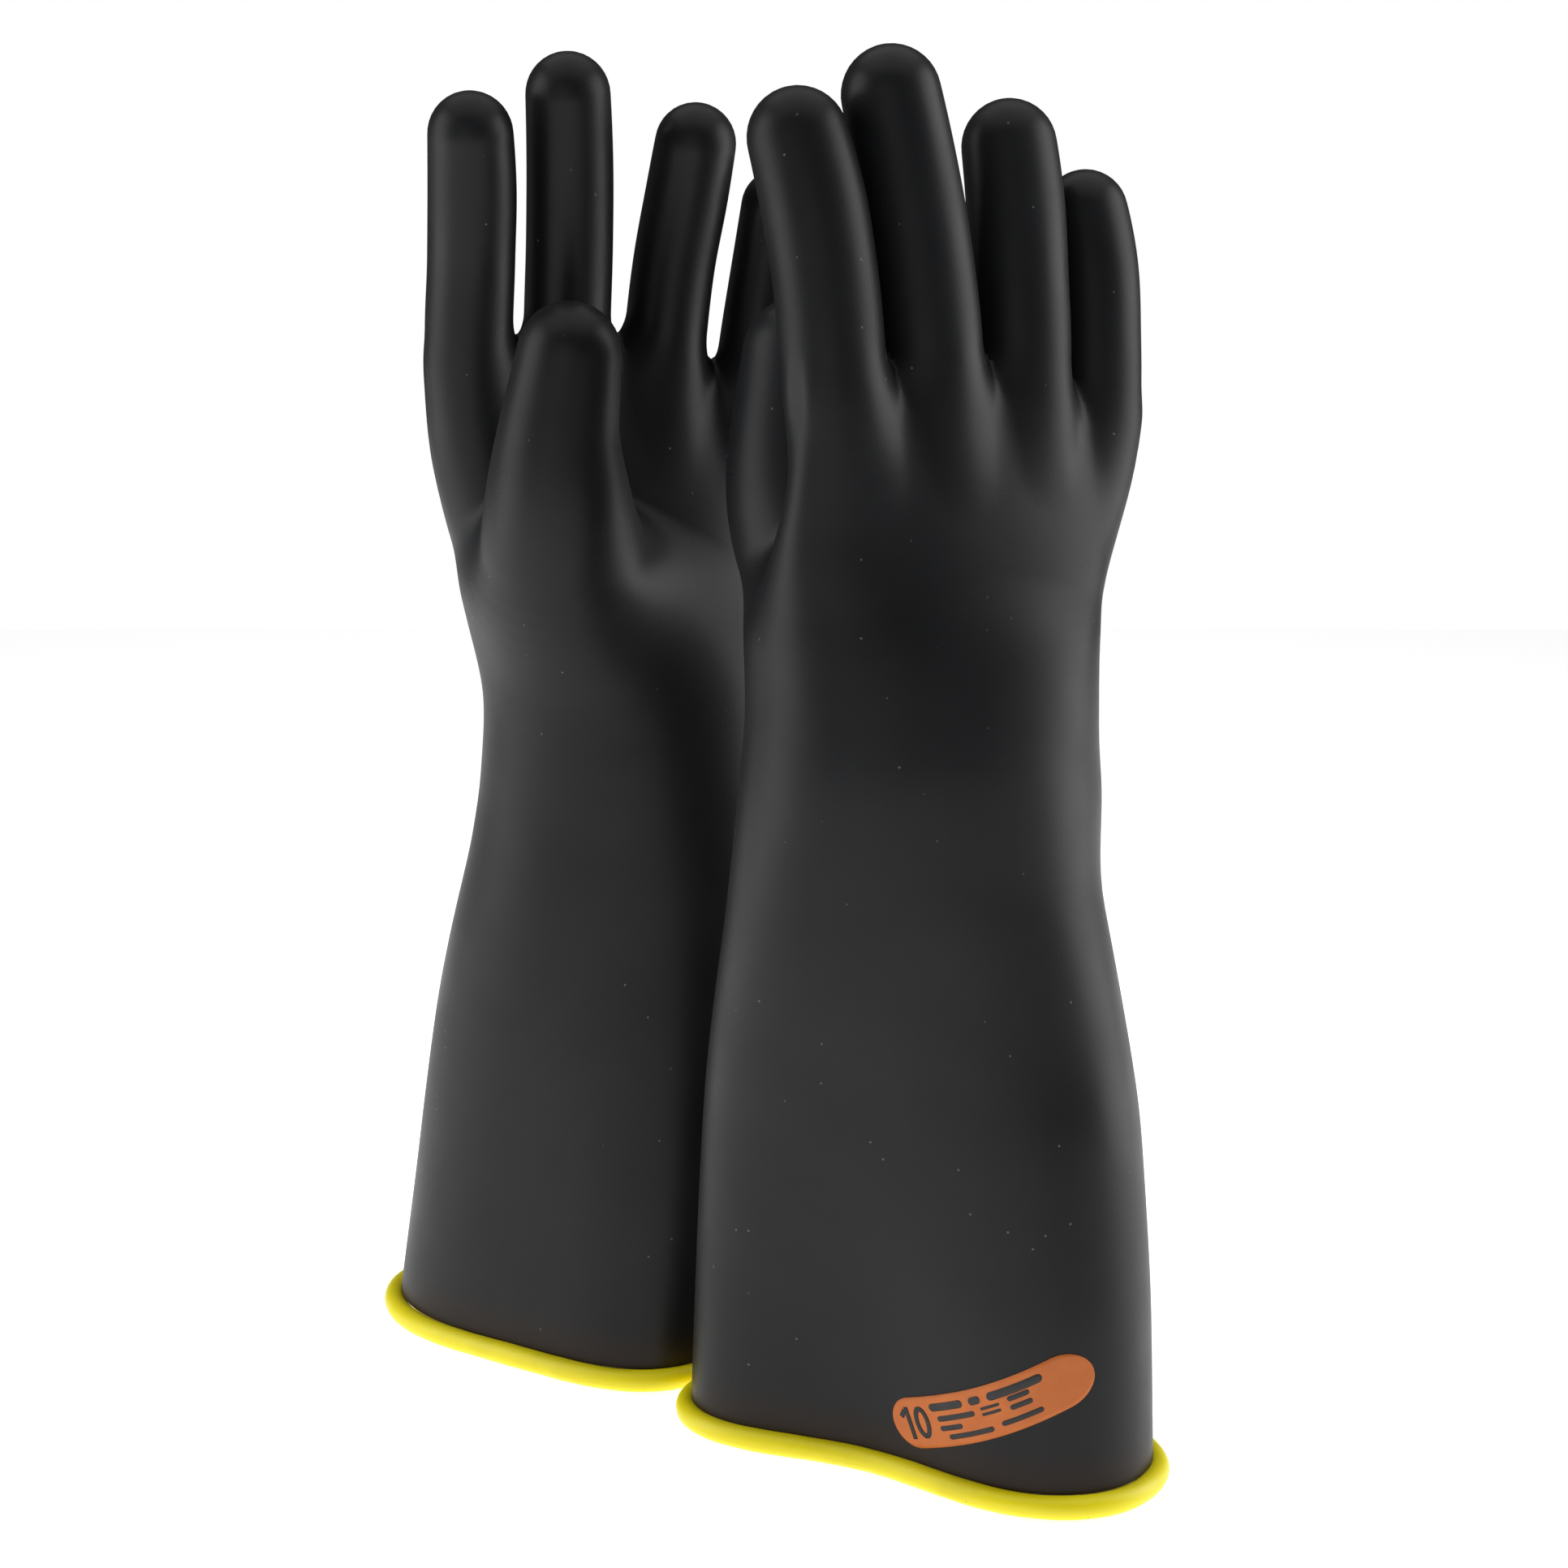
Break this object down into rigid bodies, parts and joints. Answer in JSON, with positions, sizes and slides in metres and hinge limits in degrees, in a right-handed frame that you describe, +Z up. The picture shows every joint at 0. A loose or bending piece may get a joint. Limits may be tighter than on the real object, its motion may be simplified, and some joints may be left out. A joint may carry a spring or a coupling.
{
  "type": "electrical insulating gloves",
  "caption": "Pair of long two-ply rubber gauntlet gloves with rolled cuff beads; they keep an electrical worker's hands and forearms insulated and flex at the wrist, thumb and fingers.",
  "frame": {"origin": "bottom centre of the pair's bounding box, on the surface that both cuff beads stand on", "axes": "+Z up along the gloves, cuffs down; -Y towards the viewer, with the right-hand glove in front and its back to -Y; +X towards the right-hand glove's side of the pair"},
  "size_m": [0.2702, 0.2352, 0.4503],
  "materials": {
    "black_rubber": "satin dipped natural rubber, black outer ply",
    "yellow_rubber": "satin dipped natural rubber, yellow inner ply and rolled bead",
    "label_orange": "matt bonded rubber patch, orange with black print"
  },
  "bodies": {
    "right_gauntlet": {"right_outer_gauntlet": "black_rubber", "right_inner_gauntlet": "yellow_rubber", "right_cuff_bead": "yellow_rubber", "right_label": "label_orange"},
    "right_hand": {"right_outer_hand": "black_rubber", "right_inner_hand": "yellow_rubber"},
    "right_thumb": {"right_outer_thumb": "black_rubber", "right_inner_thumb": "yellow_rubber"},
    "right_index_finger": {"right_outer_index_finger": "black_rubber", "right_inner_index_finger": "yellow_rubber"},
    "right_middle_finger": {"right_outer_middle_finger": "black_rubber", "right_inner_middle_finger": "yellow_rubber"},
    "right_ring_finger": {"right_outer_ring_finger": "black_rubber", "right_inner_ring_finger": "yellow_rubber"},
    "right_little_finger": {"right_outer_little_finger": "black_rubber", "right_inner_little_finger": "yellow_rubber"},
    "left_gauntlet": {"left_outer_gauntlet": "black_rubber", "left_inner_gauntlet": "yellow_rubber", "left_cuff_bead": "yellow_rubber", "left_label": "label_orange"},
    "left_hand": {"left_outer_hand": "black_rubber", "left_inner_hand": "yellow_rubber"},
    "left_thumb": {"left_outer_thumb": "black_rubber", "left_inner_thumb": "yellow_rubber"},
    "left_index_finger": {"left_outer_index_finger": "black_rubber", "left_inner_index_finger": "yellow_rubber"},
    "left_middle_finger": {"left_outer_middle_finger": "black_rubber", "left_inner_middle_finger": "yellow_rubber"},
    "left_ring_finger": {"left_outer_ring_finger": "black_rubber", "left_inner_ring_finger": "yellow_rubber"},
    "left_little_finger": {"left_outer_little_finger": "black_rubber", "left_inner_little_finger": "yellow_rubber"}
  },
  "joints": [
    {"name": "right_wrist_flex", "type": "hinge", "parent": "right_gauntlet", "child": "right_hand", "pos_m": [0.05054, -0.05727, 0.236], "axis": [-0.8387, -0.5446, 0], "range_deg": [-20, 20], "stiffness_Nm_per_rad": 3},
    {"name": "right_thumb_flex", "type": "hinge", "parent": "right_hand", "child": "right_thumb", "pos_m": [0.03057, -0.02178, 0.32907], "axis": [-0.2631, 0.9502, -0.1672], "range_deg": [-8, 35], "stiffness_Nm_per_rad": 0.3},
    {"name": "right_index_finger_flex", "type": "hinge", "parent": "right_hand", "child": "right_index_finger", "pos_m": [0.0194, -0.06148, 0.37235], "axis": [-0.8385, -0.5445, 0.0196], "range_deg": [-8, 65], "stiffness_Nm_per_rad": 0.3},
    {"name": "right_middle_finger_flex", "type": "hinge", "parent": "right_hand", "child": "right_middle_finger", "pos_m": [0.04923, -0.04379, 0.37659], "axis": [-0.8385, -0.5445, -0.0207], "range_deg": [-8, 65], "stiffness_Nm_per_rad": 0.3},
    {"name": "right_ring_finger_flex", "type": "hinge", "parent": "right_hand", "child": "right_ring_finger", "pos_m": [0.08023, -0.02471, 0.37229], "axis": [-0.8364, -0.5432, 0.0733], "range_deg": [-8, 65], "stiffness_Nm_per_rad": 0.3},
    {"name": "right_little_finger_flex", "type": "hinge", "parent": "right_hand", "child": "right_little_finger", "pos_m": [0.10673, -0.00676, 0.3628], "axis": [-0.834, -0.5416, 0.1056], "range_deg": [-8, 65], "stiffness_Nm_per_rad": 0.3},
    {"name": "left_wrist_flex", "type": "hinge", "parent": "left_gauntlet", "child": "left_hand", "pos_m": [-0.03766, 0.04723, 0.236], "axis": [0.9272, 0.3746, 0], "range_deg": [-20, 20], "stiffness_Nm_per_rad": 3},
    {"name": "left_thumb_flex", "type": "hinge", "parent": "left_hand", "child": "left_thumb", "pos_m": [-0.05109, -0.00303, 0.3291], "axis": [-0.6275, 0.7605, 0.1672], "range_deg": [-8, 35], "stiffness_Nm_per_rad": 0.3},
    {"name": "left_index_finger_flex", "type": "hinge", "parent": "left_hand", "child": "left_index_finger", "pos_m": [-0.08888, 0.01356, 0.37267], "axis": [0.927, 0.3745, -0.0196], "range_deg": [-8, 65], "stiffness_Nm_per_rad": 0.3},
    {"name": "left_middle_finger_flex", "type": "hinge", "parent": "left_hand", "child": "left_middle_finger", "pos_m": [-0.05729, 0.02783, 0.37693], "axis": [0.927, 0.3745, 0.0207], "range_deg": [-8, 65], "stiffness_Nm_per_rad": 0.3},
    {"name": "left_ring_finger_flex", "type": "hinge", "parent": "left_hand", "child": "left_ring_finger", "pos_m": [-0.02384, 0.04224, 0.37261], "axis": [0.9247, 0.3736, -0.0733], "range_deg": [-8, 65], "stiffness_Nm_per_rad": 0.3},
    {"name": "left_little_finger_flex", "type": "hinge", "parent": "left_hand", "child": "left_little_finger", "pos_m": [0.00612, 0.05354, 0.36308], "axis": [0.922, 0.3725, -0.1056], "range_deg": [-8, 65], "stiffness_Nm_per_rad": 0.3},
    {"name": "left_glove_lift", "type": "slide", "parent": "right_gauntlet", "child": "left_gauntlet", "axis": [0, 0, 1], "range_m": [0, 0.5]}
  ]
}
